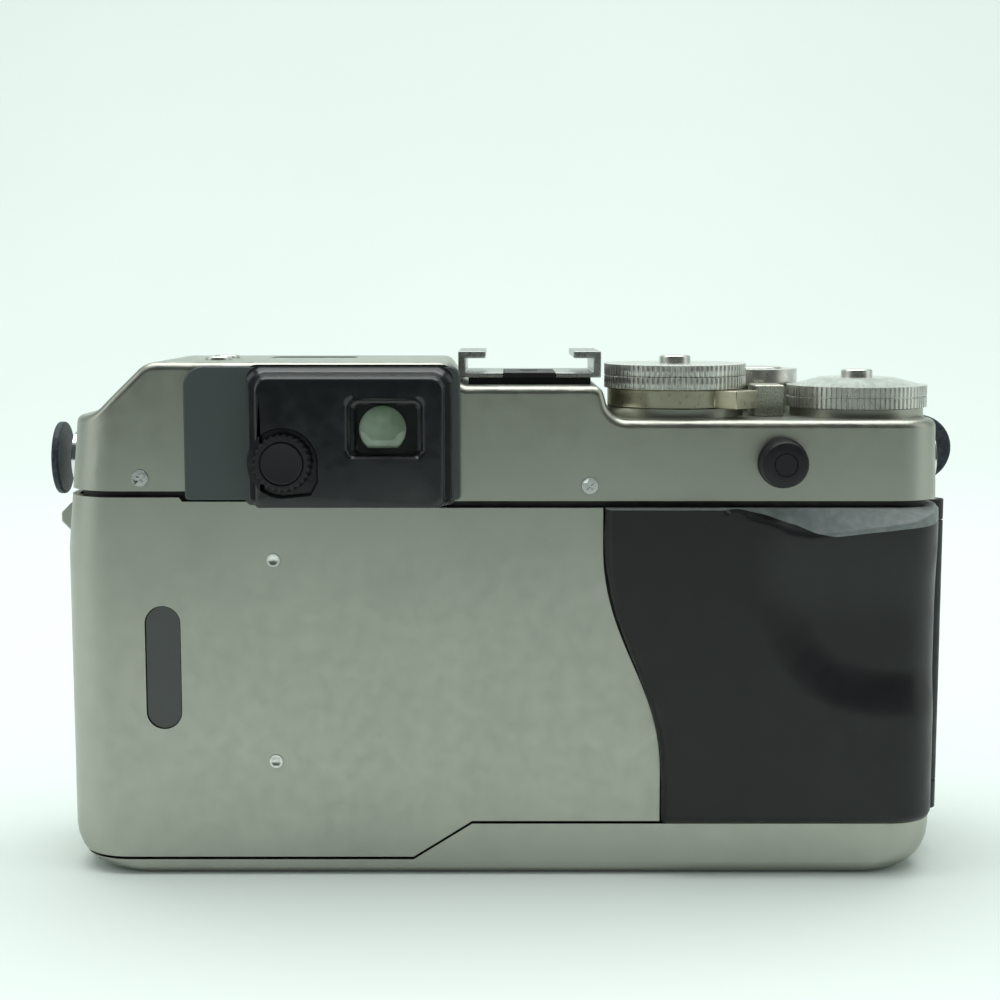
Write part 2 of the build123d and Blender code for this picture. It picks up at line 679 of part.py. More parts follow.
def battery_door():
    """Base corner that swings down on an inner pin at its left edge."""
    door = (envelope(gripped=True) - envelope(wall, gripped=True)) & battery_door_zone()
    for y in ear_places:
        ear = block(cell_hinge_x, cell_hinge_x + 0.7, y - 1.5, y + 1.5, 0, 2 * ear_z)
        ear = ear + rod(cell_hinge_x, ear_z, ear_z, y - 1.5, y + 1.5)
        door = door + ear - rod(cell_hinge_x, ear_z, ear_pin_r + shaft_fit, y - 2, y + 2)
    return door


def tripod_socket():
    bush = post(0, 0, 5.0, 0, wall + 0.6) + post(0, 0, 6.0, wall + 0.6, socket_top)
    return bush - post(0, 0, socket_r, -1, socket_top - 0.5)


def eyepiece_housing():
    panel = block(-49.4, -9.9, rear_y - 0.9, rear_y, door_top_mid + 0.4, top_z - 0.5)
    panel = fillet(panel.edges().filter_by(Axis.Y), 2.4)
    frame = block(-38.5, -12.1, eyepiece_y, rear_y - 0.5, door_top_right + 0.35, top_z - 2.0)
    frame = fillet(frame.edges().filter_by(Axis.Y), 1.8)
    frame = frame + block(-38.0, -9.9, rear_y - 0.9, rear_y - 0.4, door_top_right + 0.35, door_top + 4)
    frame = frame & block(-99, 99, -99, rear_y, door_top_right + 0.35, 99)
    housing = panel + frame
    housing = housing - block(finder_x0 - 1.1, finder_x1 + 0.3, eyepiece_y - 1, eyepiece_y + 1.3,
                              finder_z0 - 0.1, finder_z1 + 0.7)
    housing = housing - block(finder_x0, finder_x1, eyepiece_y - 1, rear_y + 1, finder_z0, finder_z1)
    housing = housing - rod(diopter_x, diopter_z, diopter_r + 0.15, eyepiece_y - 9, eyepiece_y + 1.4)
    return housing - rod(diopter_x, diopter_z, diopter_shaft_r + shaft_fit, -99, rear_y - 0.4)


def eyepiece_lens():
    return block(finder_x0, finder_x1, eyepiece_y + 1.5, eyepiece_y + 2.7, finder_z0, finder_z1)


def diopter_dial():
    dial = rod(diopter_x, diopter_z, diopter_r, eyepiece_y - 1.0, eyepiece_y + 1.2)
    dial = chamfer(dial.edges(), 0.35)
    return dial + rod(diopter_x, diopter_z, diopter_shaft_r, eyepiece_y + 1.0, rear_y - 1.2)


def finder_block():
    body = block(-40.0, -13.8, inner_y, front_depth - wall, cover_foot + 0.5, top_z - wall - 0.4)
    return body - block(finder_x0, finder_x1, inner_y - 1, front_depth + 1, finder_z0 - 0.5, finder_z1 + 0.5)


def front_windows():
    solids = []
    for x0, x1, z0, z1 in window_places():
        pane = block(x0 + 0.05, x1 - 0.05, front_depth - wall, front_depth - 0.15, z0 + 0.05, z1 - 0.05)
        solids += pane.solids()
    return Compound(children=solids)


def timer_lamp():
    lamp = rod(30.0, sync_z, 1.95, front_depth - wall - 1, front_depth + 0.3)
    return fillet(lamp.edges().group_by(Axis.Y)[-1], 0.5)


def counter_window():
    return counter_shape(0.0, 0.8)


def sync_socket():
    return tube(sync_x, sync_z, 3.0, 1.8, rear_y - 0.9, rear_y + 6.0)


def sync_cap():
    cap = rod(sync_x, sync_z, cap_r, rear_y - 3.4, rear_y - 0.08)
    cap = fillet(cap.edges().group_by(Axis.Y)[0], 0.45)
    return cap - rod(sync_x, sync_z, 3.0 + shaft_fit, rear_y - 1.0, rear_y + 1)


def hot_shoe():
    z0 = shoe_z + 1.0
    half, inner, lip = shoe_half, shoe_half - 1.1, 6.4
    y0, y1 = -9.0, 9.0
    shoe = block(-half, half, y0, y1, z0, z0 + 3.8)
    shoe = shoe - block(-inner, inner, y0 - 1, y1 + 1, z0 + 0.7, z0 + 2.8)
    shoe = shoe - block(-lip, lip, y0 - 1, y1 + 1, z0 + 0.7, z0 + 9)
    return shoe - block(-3.75, 3.75, y0 - 1, 5.0, z0 - 1, z0 + 2)


def shoe_base():
    z0 = shoe_z
    base = block(-shoe_half + 1.5, shoe_half - 1.5, -8.6, 8.6, z0, z0 + 1.0)
    base = base + block(-3.7, 3.7, -9.3, 4.95, z0 + 1.0, z0 + 1.72)
    return base + post(0, 0, 1.3, z0 + 1.7, z0 + 1.85)


def shutter_dial():
    dial = knurled(dial_x, 0, dial_r, dial_z + 6.0, dial_z + 7.7)
    dial = dial + post(dial_x, 0, 2.4, dial_z - 1.5, dial_z + 6.1)
    dial = dial - post(dial_x, 0, 2.35 + shaft_fit, dial_z + 6.2, dial_z + 9)
    return dial - post(dial_x, 0, 1.4 + shaft_fit, dial_z + 3.0, dial_z + 9)


def compensation_ring():
    ring = knurled(dial_x, 0, dial_r, dial_z + 4.1, dial_z + 6.0 - touch_gap)
    ring = ring + post(dial_x, 0, 3.2, dial_z - 1.2, dial_z + 4.2)
    return ring - post(dial_x, 0, 2.4 + shaft_fit, dial_z - 9, dial_z + 9)


def bracket_lever():
    z0, z1 = dial_z + 1.4, dial_z + 4.0
    lever = post(dial_x, 0, dial_r - 0.5, z0, z1)
    tab = Pos(dial_x, 0, (z0 + z1) / 2) * Rot(0, 0, -46) * Pos(dial_r + 0.9, 0, 0) * Box(4.6, 5.0, z1 - z0)
    lever = lever + tab + post(dial_x, 0, 4.0, dial_z - 0.9, dial_z + 1.5)
    return lever - post(dial_x, 0, 3.2 + shaft_fit, dial_z - 9, dial_z + 9)


def dial_lock(x, z_top):
    """A small push lock in the middle of a dial, standing 1.2 mm proud of z_top."""
    lock = post(x, 0, 2.35, z_top - 0.6, z_top + 1.2)
    lock = fillet(lock.edges().group_by(Axis.Z)[-1], 0.35)
    return lock + post(x, 0, 1.4, z_top - 2.8, z_top - 0.5)


def index_block():
    body = block(index_x, index_x + index_w, -5.0, 1.5, dial_z, dial_z + 4.6)
    near = post(dial_x, 0, dial_r + 0.3, 0, 99) + post(focus_x, 0, focus_r + 0.3, 0, 99)
    return body - near - post(collar_x, collar_y, collar_r + 0.3, 0, 99)


def focus_dial():
    z0 = dial_z + 1.3
    dial = knurled(focus_x, 0, focus_r, z0, z0 + 1.5) + knurled(focus_x, 0, focus_r, z0 + 1.7, z0 + 3.2)
    dial = dial + post(focus_x, 0, focus_r - 0.5, z0 + 1.4, z0 + 1.8)
    cone = Pos(focus_x, 0, z0 + 3.2 + 0.55) * Cone(focus_r - 0.6, 5.6, 1.1)
    dial = dial + cone + post(focus_x, 0, 2.4, dial_z - 1.5, z0 + 0.1)
    dial = dial - post(focus_x, 0, 2.35 + shaft_fit, z0 + 2.7, z0 + 9)
    return dial - post(focus_x, 0, 1.4 + shaft_fit, z0 + 0.5, z0 + 9)


def release_button():
    button = post(collar_x, collar_y, 4.2, dial_z + 4.9, dial_z + 6.8)
    button = fillet(button.edges().group_by(Axis.Z)[-1], 0.4)
    return button + post(collar_x, collar_y, 2.0, dial_z - 2.5, dial_z + 5)


def main_switch():
    z0 = dial_z + 4.0
    collar = post(collar_x, collar_y, collar_r, z0, z0 + 2.5)
    lever = Pos(collar_x, collar_y, z0 + 1.25) * Rot(0, 0, 115) * Pos(collar_r + 0.8, 0, 0) * Box(3.6, 4.0, 2.3)
    return collar + lever - post(collar_x, collar_y, 4.2 + shaft_fit, 0, 99)


def top_button(x, y):
    button = post(x, y, 2.0, top_z - 2.4, top_z + 0.5)
    return fillet(button.edges().group_by(Axis.Z)[-1], 0.3)


def strap_lugs():
    solids = []
    for side, end in ((-1, left_end - lean_rate * (lug_z - lean_start)),
                      (1, right_end - lean_rate * lean_share * (lug_z - lean_start))):
        inner, outer = sorted((side * (end - 0.6), side * (end + 3.2)))
        lug = bar(lug_y, lug_z, lug_r, inner, outer)
        ball = 9.0
        lug = lug & Pos(side * (end + 4.8 - ball), lug_y, lug_z) * Sphere(ball)
        lug = lug - top_form()
        stem_a, stem_b = sorted((side * (end - 3.0), side * (end + 0.5)))
        lug = lug + bar(lug_y, lug_z, lug_stem_r, stem_a, stem_b)
        lug = lug - post(side * (end + 2.6), lug_y, 0.8, lug_z - 9, lug_z + 9)
        solids += lug.solids()
    return Compound(children=solids)


def lug_guards():
    left = left_end - lean_rate * (lug_z - lean_start) + 4.85
    guard_left = bar(lug_y, lug_z, 5.6, -left - 1.1, -left)
    right = right_end + 1.9
    guard_right = Pos(right, lug_y + 4.9, lug_z + 1.1) * Rot(90, 0, 0) * Cylinder(5.3, 1.2)
    guard_right = guard_right - envelope(-0.1) - block(-99, right_end, -99, 99, 0, 99)
    return Compound(children=guard_left.solids() + guard_right.solids())


def door_latch():
    side = left_end - lean_rate * 2.4
    knob = block(-side - 4.6, -left_end - 0.12, lug_y - 2.2, lug_y + 2.2, 48.4, 53.0)
    knob = chamfer(knob.edges().filter_by(Axis.Y).group_by(Axis.X)[0], 1.6)
    stem = block(-side - 0.3, -left_end + 3.2, lug_y - 1.0, lug_y + 1.0, 49.4, 51.6)
    foot = block(-left_end + 2.0, -left_end + 3.2, lug_y - 1.5, lug_y + 1.5, 46.6, 53.3)
    return knob + stem + foot


def cover_screws():
    solids = []
    for x, z in rear_screw_places():
        screw = rod(x, z, screw_r, rear_y - 0.12, rear_y + 0.7) + rod(x, z, 0.6, rear_y + 0.6, rear_y + 4)
        for turn in (0, 90):
            cross = Pos(x, rear_y - 0.1, z) * Rot(0, 45 + turn, 0) * Box(1.3, 0.7, 0.3)
            screw = screw - cross
        solids += screw.solids()
    for x, y in base_screw_places():
        screw = post(x, y, screw_r, 0.05, 0.8) + post(x, y, 0.6, 0.7, base_rim + 1.0)
        for turn in (0, 90):
            screw = screw - Pos(x, y, 0.05) * Rot(0, 0, 45 + turn) * Box(1.3, 0.3, 0.7)
        solids += screw.solids()
    return Compound(children=solids)


nodes = {
    "chassis": chassis(), "top_cover": top_cover(), "base_cover": base_cover(),
    "front_cover": front_cover(), "front_grip": front_grip(), "door_panel": door_panel(),
    "thumb_grip": thumb_grip(), "door_frame": door_frame(), "hinge_bracket": hinge_bracket(),
    "hinge_pin": hinge_pin(), "film_window": film_window(), "door_rivets": door_rivets(),
    "pressure_plate": pressure_plate(), "pressure_springs": pressure_springs(),
    "film_gate": film_gate(), "shutter_frame": shutter_frame(), "film_motor": film_motor(),
    "mount_ring": mount_ring(), "lens_lock_pin": lens_lock_pin(),
    "lens_release_button": lens_release_button(), "lens_barrel": lens_barrel(),
    "aperture_ring": aperture_ring(), "lens_front": lens_front(), "lens_elements": lens_elements(),
    "take_up_spool": take_up_spool(), "sprocket": sprocket(), "rewind_fork": rewind_fork(),
    "battery": battery(), "battery_door": battery_door(), "tripod_socket": tripod_socket(),
    "eyepiece_housing": eyepiece_housing(), "eyepiece_lens": eyepiece_lens(),
    "diopter_dial": diopter_dial(), "finder_block": finder_block(), "front_windows": front_windows(),
    "timer_lamp": timer_lamp(), "counter_window": counter_window(), "sync_socket": sync_socket(),
    "sync_cap": sync_cap(), "hot_shoe": hot_shoe(), "shoe_base": shoe_base(),
    "shutter_dial": shutter_dial(), "compensation_ring": compensation_ring(),
    "bracket_lever": bracket_lever(), "shutter_dial_lock": dial_lock(dial_x, dial_z + 7.7),
    "index_block": index_block(), "focus_dial": focus_dial(),
    "focus_dial_lock": dial_lock(focus_x, dial_z + 5.6), "release_button": release_button(),
    "main_switch": main_switch(), "drive_button": top_button(*button_places()[0]),
    "iso_button": top_button(*button_places()[1]), "strap_lugs": strap_lugs(),
    "lug_guards": lug_guards(), "door_latch": door_latch(), "cover_screws": cover_screws(),
}
for number in range(blade_count):
    nodes["shutter_blade_" + str(number + 1)] = shutter_blade(number)

os.makedirs("parts", exist_ok=True)
for name, shape in nodes.items():
    export_step(shape, "parts/" + name + ".step")
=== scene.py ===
import bpy
import bmesh
import json
from math import cos, sin, pi, radians
from mathutils import Matrix, Vector

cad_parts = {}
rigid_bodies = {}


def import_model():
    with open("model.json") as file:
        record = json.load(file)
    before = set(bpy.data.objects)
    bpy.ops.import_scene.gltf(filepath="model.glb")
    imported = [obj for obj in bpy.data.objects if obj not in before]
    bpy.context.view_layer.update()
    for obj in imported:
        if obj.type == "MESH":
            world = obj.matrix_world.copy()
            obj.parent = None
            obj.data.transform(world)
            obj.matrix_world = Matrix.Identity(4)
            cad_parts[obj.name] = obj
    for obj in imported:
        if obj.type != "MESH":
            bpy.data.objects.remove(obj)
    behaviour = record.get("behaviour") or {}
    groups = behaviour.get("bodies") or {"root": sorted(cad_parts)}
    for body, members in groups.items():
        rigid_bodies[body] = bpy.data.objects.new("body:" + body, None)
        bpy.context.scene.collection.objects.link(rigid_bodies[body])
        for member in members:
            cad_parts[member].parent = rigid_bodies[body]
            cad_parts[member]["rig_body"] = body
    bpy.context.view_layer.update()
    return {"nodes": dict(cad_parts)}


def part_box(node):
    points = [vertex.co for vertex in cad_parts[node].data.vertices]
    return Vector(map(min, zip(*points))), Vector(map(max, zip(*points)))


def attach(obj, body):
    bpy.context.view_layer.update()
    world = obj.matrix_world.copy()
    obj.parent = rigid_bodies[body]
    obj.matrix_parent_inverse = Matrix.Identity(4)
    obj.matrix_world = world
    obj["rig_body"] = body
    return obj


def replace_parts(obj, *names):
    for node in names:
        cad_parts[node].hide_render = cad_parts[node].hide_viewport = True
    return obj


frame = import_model()
mm = 0.001

# --- Plated metal covers -----------------------------------------------------
# Thin pressed covers of titanium-coloured plated metal, blasted to a fine satin.
# Top, base, front and door are separate shells held by small screws.

weld_gap = 2e-6
flat_angle = 0.3
sharp_angle = 28


def new_finish(name, colour, metal, roughness):
    """A material with its plain values on the shader's own sockets."""
    finish = bpy.data.materials.new(name)
    finish.use_nodes = True
    shader = finish.node_tree.nodes["Principled BSDF"]
    shader.inputs["Base Color"].default_value = (*colour, 1)
    shader.inputs["Metallic"].default_value = metal
    shader.inputs["Roughness"].default_value = roughness
    return finish


def noise_on(finish, scale, detail=2.0, rough=0.5, squeeze=(1, 1, 1)):
    """Noise on object coordinates, scale in features per metre."""
    tree = finish.node_tree
    place = tree.nodes.new("ShaderNodeTexCoord")
    mapping = tree.nodes.new("ShaderNodeMapping")
    mapping.inputs["Scale"].default_value = squeeze
    noise = tree.nodes.new("ShaderNodeTexNoise")
    noise.inputs["Scale"].default_value = scale
    noise.inputs["Detail"].default_value = detail
    noise.inputs["Roughness"].default_value = rough
    tree.links.new(place.outputs["Object"], mapping.inputs["Vector"])
    tree.links.new(mapping.outputs["Vector"], noise.inputs["Vector"])
    return noise


def vary_colour(finish, noise, dark, light, low=0.35, high=0.65):
    """Base colour runs from dark to light with the noise."""
    tree = finish.node_tree
    ramp = tree.nodes.new("ShaderNodeValToRGB")
    ramp.color_ramp.elements[0].position = low
    ramp.color_ramp.elements[0].color = (*dark, 1)
    ramp.color_ramp.elements[1].position = high
    ramp.color_ramp.elements[1].color = (*light, 1)
    tree.links.new(noise.outputs["Fac"], ramp.inputs["Fac"])
    tree.links.new(ramp.outputs["Color"], tree.nodes["Principled BSDF"].inputs["Base Color"])


def vary_roughness(finish, noise, low, high):
    tree = finish.node_tree
    spread = tree.nodes.new("ShaderNodeMapRange")
    spread.inputs["From Min"].default_value = 0.3
    spread.inputs["From Max"].default_value = 0.7
    spread.inputs["To Min"].default_value = low
    spread.inputs["To Max"].default_value = high
    tree.links.new(noise.outputs["Fac"], spread.inputs["Value"])
    tree.links.new(spread.outputs["Result"], tree.nodes["Principled BSDF"].inputs["Roughness"])


def grain(finish, noise, strength, depth):
    """Surface grain from the noise, depth in metres."""
    tree = finish.node_tree
    bump = tree.nodes.new("ShaderNodeBump")
    bump.inputs["Strength"].default_value = strength
    bump.inputs["Distance"].default_value = depth
    tree.links.new(noise.outputs["Fac"], bump.inputs["Height"])
    tree.links.new(bump.outputs["Normal"], tree.nodes["Principled BSDF"].inputs["Normal"])


def mark_edges(form, angle=sharp_angle):
    for face in form.faces:
        face.smooth = True
    for edge in form.edges:
        edge.smooth = len(edge.link_faces) == 2 and edge.calc_face_angle(4) < radians(angle)


def add_piece(form, name, body, finish, edge=0.0, steps=3, weighted=True):
    """Turns a bmesh into a piece riding on a CAD body, with its sharp edges rounded."""
    mesh = bpy.data.meshes.new(name)
    form.to_mesh(mesh)
    form.free()
    piece = bpy.data.objects.new(name, mesh)
    bpy.context.scene.collection.objects.link(piece)
    piece.data.materials.append(finish)
    if edge:
        bevel = piece.modifiers.new("edges", "BEVEL")
        bevel.width = edge
        bevel.segments = steps
        bevel.limit_method = "ANGLE"
        bevel.angle_limit = radians(sharp_angle)
        bevel.miter_outer = "MITER_ARC"
        bevel.use_clamp_overlap = True
    if weighted:
        even = piece.modifiers.new("shading", "WEIGHTED_NORMAL")
        even.keep_sharp = True
    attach(piece, body)
    return piece


def finish_node(node, finish, edge=0.0, steps=3):
    """A welded copy of a CAD piece with rounded edges and even shading, in place of the loose triangles."""
    form = bmesh.new()
    form.from_mesh(frame["nodes"][node].data)
    bmesh.ops.remove_doubles(form, verts=form.verts, dist=weld_gap)
    bmesh.ops.dissolve_limit(form, angle_limit=radians(flat_angle), verts=form.verts, edges=form.edges,
                             use_dissolve_boundaries=False)
    for layer in list(form.loops.layers.uv):
        form.loops.layers.uv.remove(layer)
    mark_edges(form)
    body = frame["nodes"][node]["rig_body"]
    piece = add_piece(form, node + "_finished", body, finish, edge, steps)
    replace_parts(piece, node)
    return piece


plated = new_finish("satin_plated_metal", (0.42, 0.43, 0.38), 1.0, 0.36)
smudges = noise_on(plated, 55, 4, 0.6)
vary_colour(plated, smudges, (0.38, 0.386, 0.338), (0.418, 0.425, 0.372), 0.25, 0.6)
vary_roughness(plated, noise_on(plated, 420, 3), 0.33, 0.41)
grain(plated, noise_on(plated, 9000, 2), 0.12, 0.00002)

for node in ("top_cover", "base_cover", "front_cover", "door_panel", "battery_door"):
    finish_node(node, plated, 0.00012)
finish_node("door_latch", plated, 0.0003)

# --- Index block ------------------------------------------------------------
# A small block between the dials that carries their index lines. It is
# sandblasted coarser than the covers, so it sparkles.

blasted = new_finish("coarse_blasted_metal", (0.56, 0.56, 0.48), 1.0, 0.42)
vary_colour(blasted, noise_on(blasted, 5200, 2), (0.38, 0.38, 0.32), (0.72, 0.72, 0.63), 0.38, 0.62)
grain(blasted, noise_on(blasted, 5200, 2), 0.55, 0.00008)
finish_node("index_block", blasted, 0.0003)

# --- Chassis and film path ---------------------------------------------------
# A die-cast alloy block, left as cast and blackened, with the film rails, the
# shutter, the spools and the pressure plate set into it behind the door.

cast = new_finish("blackened_casting", (0.035, 0.036, 0.038), 0.6, 0.55)
vary_colour(cast, noise_on(cast, 300, 3), (0.028, 0.029, 0.031), (0.05, 0.05, 0.052))
grain(cast, noise_on(cast, 2600, 3), 0.3, 0.00006)
finish_node("chassis", cast, 0.00015, 2)

blackened = new_finish("black_painted_metal", (0.018, 0.018, 0.02), 0.4, 0.45)
vary_roughness(blackened, noise_on(blackened, 500, 3), 0.38, 0.55)
grain(blackened, noise_on(blackened, 5000, 2), 0.1, 0.00002)
for node in ("door_frame", "film_gate", "shutter_frame", "hinge_bracket", "pressure_plate"):
    finish_node(node, blackened, 0.00012, 2)
for number in range(1, 5):
    finish_node("shutter_blade_" + str(number), blackened, 0.00005, 1)

turned = new_finish("turned_steel", (0.52, 0.52, 0.51), 1.0, 0.28)
vary_roughness(turned, noise_on(turned, 900, 3), 0.22, 0.36)
grain(turned, noise_on(turned, 7000, 2, squeeze=(1, 1, 8)), 0.08, 0.00002)
for node in ("hinge_pin", "pressure_springs", "film_motor", "tripod_socket", "rewind_fork", "lens_lock_pin"):
    finish_node(node, turned, 0.00008, 2)

moulded = new_finish("matt_black_plastic", (0.010, 0.010, 0.012), 0.0, 0.45)
moulded.node_tree.nodes["Principled BSDF"].inputs["Specular IOR Level"].default_value = 0.35
vary_roughness(moulded, noise_on(moulded, 600, 3), 0.38, 0.55)
grain(moulded, noise_on(moulded, 4200, 3), 0.22, 0.00003)
for node in ("take_up_spool", "sprocket", "finder_block", "shoe_base"):
    finish_node(node, moulded, 0.0001, 2)

wrap = new_finish("blue_cell_wrap", (0.06, 0.11, 0.26), 0.3, 0.35)
vary_colour(wrap, noise_on(wrap, 260, 2), (0.05, 0.095, 0.24), (0.07, 0.125, 0.28))
finish_node("battery", wrap, 0.0004, 3)

# --- Thumb grip ---------------------------------------------------------------
# A satin moulded rubber skin bonded to the door. Its left edge is an S, and a
# scoop for the thumb is sunk into its upper right, under a sloping top edge.

rubber = new_finish("satin_moulded_rubber", (0.009, 0.0098, 0.0108), 0.0, 0.40)
rubber.node_tree.nodes["Principled BSDF"].inputs["Specular IOR Level"].default_value = 0.38
vary_roughness(rubber, noise_on(rubber, 240, 4), 0.36, 0.46)
grain(rubber, noise_on(rubber, 5200, 3), 0.16, 0.00003)

# Painted highlight: this lighter rubber on the grip's top band stands in for the overhead light's sheen on the sloping
# top edge. The rubber itself is the same black all over.
painted_sheen_rubber = new_finish("painted_sheen_rubber_edge", (0.15, 0.17, 0.17), 0.0, 0.45)
vary_colour(painted_sheen_rubber, noise_on(painted_sheen_rubber, 700, 3), (0.13, 0.15, 0.15), (0.18, 0.20, 0.20))
grain(painted_sheen_rubber, noise_on(painted_sheen_rubber, 5200, 3), 0.16, 0.00003)

grip_low, grip_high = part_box("thumb_grip")
grip_stand = 2.2
body_back = -14.0
grip_corner = 7.0
grip_rim_height = 0.12
grip_sink = 0.9
s_gap = 0.12
scoop_width = 7.5
scoop_floor, scoop_rise = 0.75, 1.75
side_turn = 2.5
grip_columns = 130
grip_rows = 112
grip_right = grip_high.x / mm
grip_front = grip_high.y / mm
grip_z0, grip_z1 = grip_low.z / mm, grip_high.z / mm
s_edge = [(54.5, 10.75), (50.0, 10.6), (46.5, 10.8), (42.6, 11.45), (39.5, 12.2), (36.7, 13.15), (33.8, 14.2),
          (30.8, 15.45), (27.8, 16.6), (24.8, 17.6), (21.8, 18.4), (18.9, 18.9), (14.0, 19.15), (7.0, 19.2)]
scoop_ridge = [(31.2, 58.0), (31.2, 50.0), (31.4, 44.9), (32.0, 40.4), (33.8, 34.8), (36.1, 30.9), (39.5, 27.5),
               (43.4, 25.2), (49.6, 23.9), (56.8, 23.8), (64.0, 23.8), (80.0, 23.8)]
band_foot = [(57.8, 54.2), (54.4, 52.6), (51.1, 52.0), (45.6, 51.3), (40.1, 50.6), (37.9, 51.0), (34.6, 52.4),
             (30.7, 53.8), (28.0, 54.4), (10.7, 54.4)]
band_rows = 16
band_share = 1 - band_rows / grip_rows


def along(table, value):
    """Straight-line reading of a table of (value, result), rows running down in value."""
    if value >= table[0][0]:
        return table[0][1]
    for (v0, r0), (v1, r1) in zip(table, table[1:]):
        if value >= v1:
            share = (value - v1) / (v0 - v1)
            share = share * share * (3 - 2 * share) * 0.3 + share * 0.7
            return r1 + (r0 - r1) * share
    return table[-1][1]


def step(value, low, high):
    share = min(1.0, max(0.0, (value - low) / (high - low)))
    return share * share * (3 - 2 * share)


def ridge_distance(x, z):
    """Distance to the scoop's ridge line, positive on the scoop's side, up and right of it."""
    best = 1e9
    for (x0, z0), (x1, z1) in zip(scoop_ridge, scoop_ridge[1:]):
        run = Vector((x1 - x0, z1 - z0))
        share = min(1.0, max(0.0, Vector((x - x0, z - z0)).dot(run) / run.length_squared))
        gap = Vector((x - x0 - run.x * share, z - z0 - run.y * share))
        if gap.length < abs(best):
            side = run.x * (z - z0) - run.y * (x - x0)
            best = gap.length if side > 0 else -gap.length
    return best


def grip_height(x, z):
    """How far the grip stands out of the body at a place on the door, in millimetres."""
    foot = along(band_foot, x)
    low = min(z, foot)
    plateau = grip_stand - grip_rim_height + grip_rim_height * step(z, 40, 12)
    floor = scoop_floor + scoop_rise * step(low, 38, 53)
    height = plateau + (floor - plateau) * step(ridge_distance(x, low), 0.0, scoop_width)
    if z > foot:
        height = grip_rim_height + (height - grip_rim_height) * (grip_z1 - z) / (grip_z1 - foot)
    return max(grip_rim_height, height)


def grip_point(share, row):
    """A point of the grip's skin; share runs from the S edge round the corner to the hinge, row from foot to top."""
    foot = along(band_foot, 11 + share * 50)
    if row < band_share:
        z = grip_z0 + (foot - grip_z0) * row / band_share
    else:
        z = foot + (grip_z1 - foot) * (row - band_share) / (1 - band_share)
    start = along(s_edge, z) + s_gap
    flat = grip_right - grip_corner - start
    arc = grip_corner * pi / 2
    end = grip_front - body_back - grip_corner
    total = flat + arc + end
    s = share * total
    if s <= flat:
        spot, out = (start + s, body_back), (0.0, -1.0)
    elif s <= flat + arc:
        turn = (s - flat) / grip_corner
        spot = (grip_right - grip_corner + grip_corner * sin(turn), body_back + grip_corner - grip_corner * cos(turn))
        out = (sin(turn), -cos(turn))
    else:
        spot, out = (grip_right, body_back + grip_corner + (s - flat - arc)), (1.0, 0.0)
    fade = 1 - step(s, flat + arc * 0.15, flat + arc * 0.95)
    lean = -0.027 * max(0.0, z - 48.0) if s > flat else 0.0
    height = grip_height(spot[0], z) * fade
    height *= 0.35 + 0.65 * step(s, -0.2, 0.9)
    height *= 0.45 + 0.55 * step(z, grip_z0 - 0.2, grip_z0 + 1.1)
    return Vector(((spot[0] + out[0] * height + lean) * mm, (spot[1] + out[1] * height) * mm, z * mm))


grip = bmesh.new()
bmesh.ops.create_grid(grip, x_segments=grip_columns, y_segments=grip_rows, size=1.0)
# The top band of rows takes the lighter rubber, a painted highlight for the light falling on the top edge.
for face in grip.faces:
    if (face.calc_center_median().y + 1) / 2 > band_share:
        face.material_index = 1
for corner in grip.verts:
    corner.co = grip_point((corner.co.x + 1) / 2, (corner.co.y + 1) / 2)
grip_rim = [edge for edge in grip.edges if edge.is_boundary]
side = bmesh.ops.extrude_edge_only(grip, edges=grip_rim)
for corner in side["geom"]:
    if isinstance(corner, bmesh.types.BMVert):
        inward = grip_sink * mm
        if corner.co.x > (grip_right - side_turn) * mm:
            corner.co.x -= inward
        elif corner.co.x > (grip_right - grip_corner) * mm:
            corner.co += Vector((-0.7, 0.7, 0)) * inward
        else:
            corner.co.y = (body_back + grip_sink) * mm
back_loop = [edge for edge in grip.edges if edge.is_boundary]
bmesh.ops.holes_fill(grip, edges=back_loop, sides=0)
bmesh.ops.triangulate(grip, faces=[face for face in grip.faces if len(face.verts) > 4])
bmesh.ops.recalc_face_normals(grip, faces=grip.faces)
mark_edges(grip, 50)
grip_skin = add_piece(grip, "thumb_grip_skin", "door", rubber, weighted=False)
# The second slot is the painted highlight of the top band.
grip_skin.data.materials.append(painted_sheen_rubber)
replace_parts(grip_skin, "thumb_grip")

# The front grip is the same rubber, wrapped round the right-hand end.
finish_node("front_grip", rubber, 0.0006, 4)

# --- Door fittings --------------------------------------------------------------
# The dark film window is glued in from behind. Two dished rivets hold the
# pressure plate's carrier, and cross-head screws hold the covers.

smoked = new_finish("smoked_window", (0.012, 0.014, 0.014), 0.0, 0.08)
smoked.node_tree.nodes["Principled BSDF"].inputs["Coat Weight"].default_value = 0.6
smoked.node_tree.nodes["Principled BSDF"].inputs["Coat Roughness"].default_value = 0.03
vary_roughness(smoked, noise_on(smoked, 300, 3), 0.05, 0.14)
for node in ("film_window", "front_windows", "counter_window"):
    finish_node(node, smoked, 0.0001, 2)

bright = new_finish("bright_chrome", (0.78, 0.78, 0.76), 1.0, 0.14)
vary_roughness(bright, noise_on(bright, 700, 3), 0.10, 0.22)
for node in ("cover_screws", "strap_lugs", "mount_ring", "sync_socket"):
    finish_node(node, bright, 0.0001, 3)
shoe_metal = new_finish("worn_shoe_metal", (0.42, 0.42, 0.41), 1.0, 0.28)
vary_roughness(shoe_metal, noise_on(shoe_metal, 900, 3), 0.22, 0.36)
finish_node("hot_shoe", shoe_metal, 0.00018, 3)

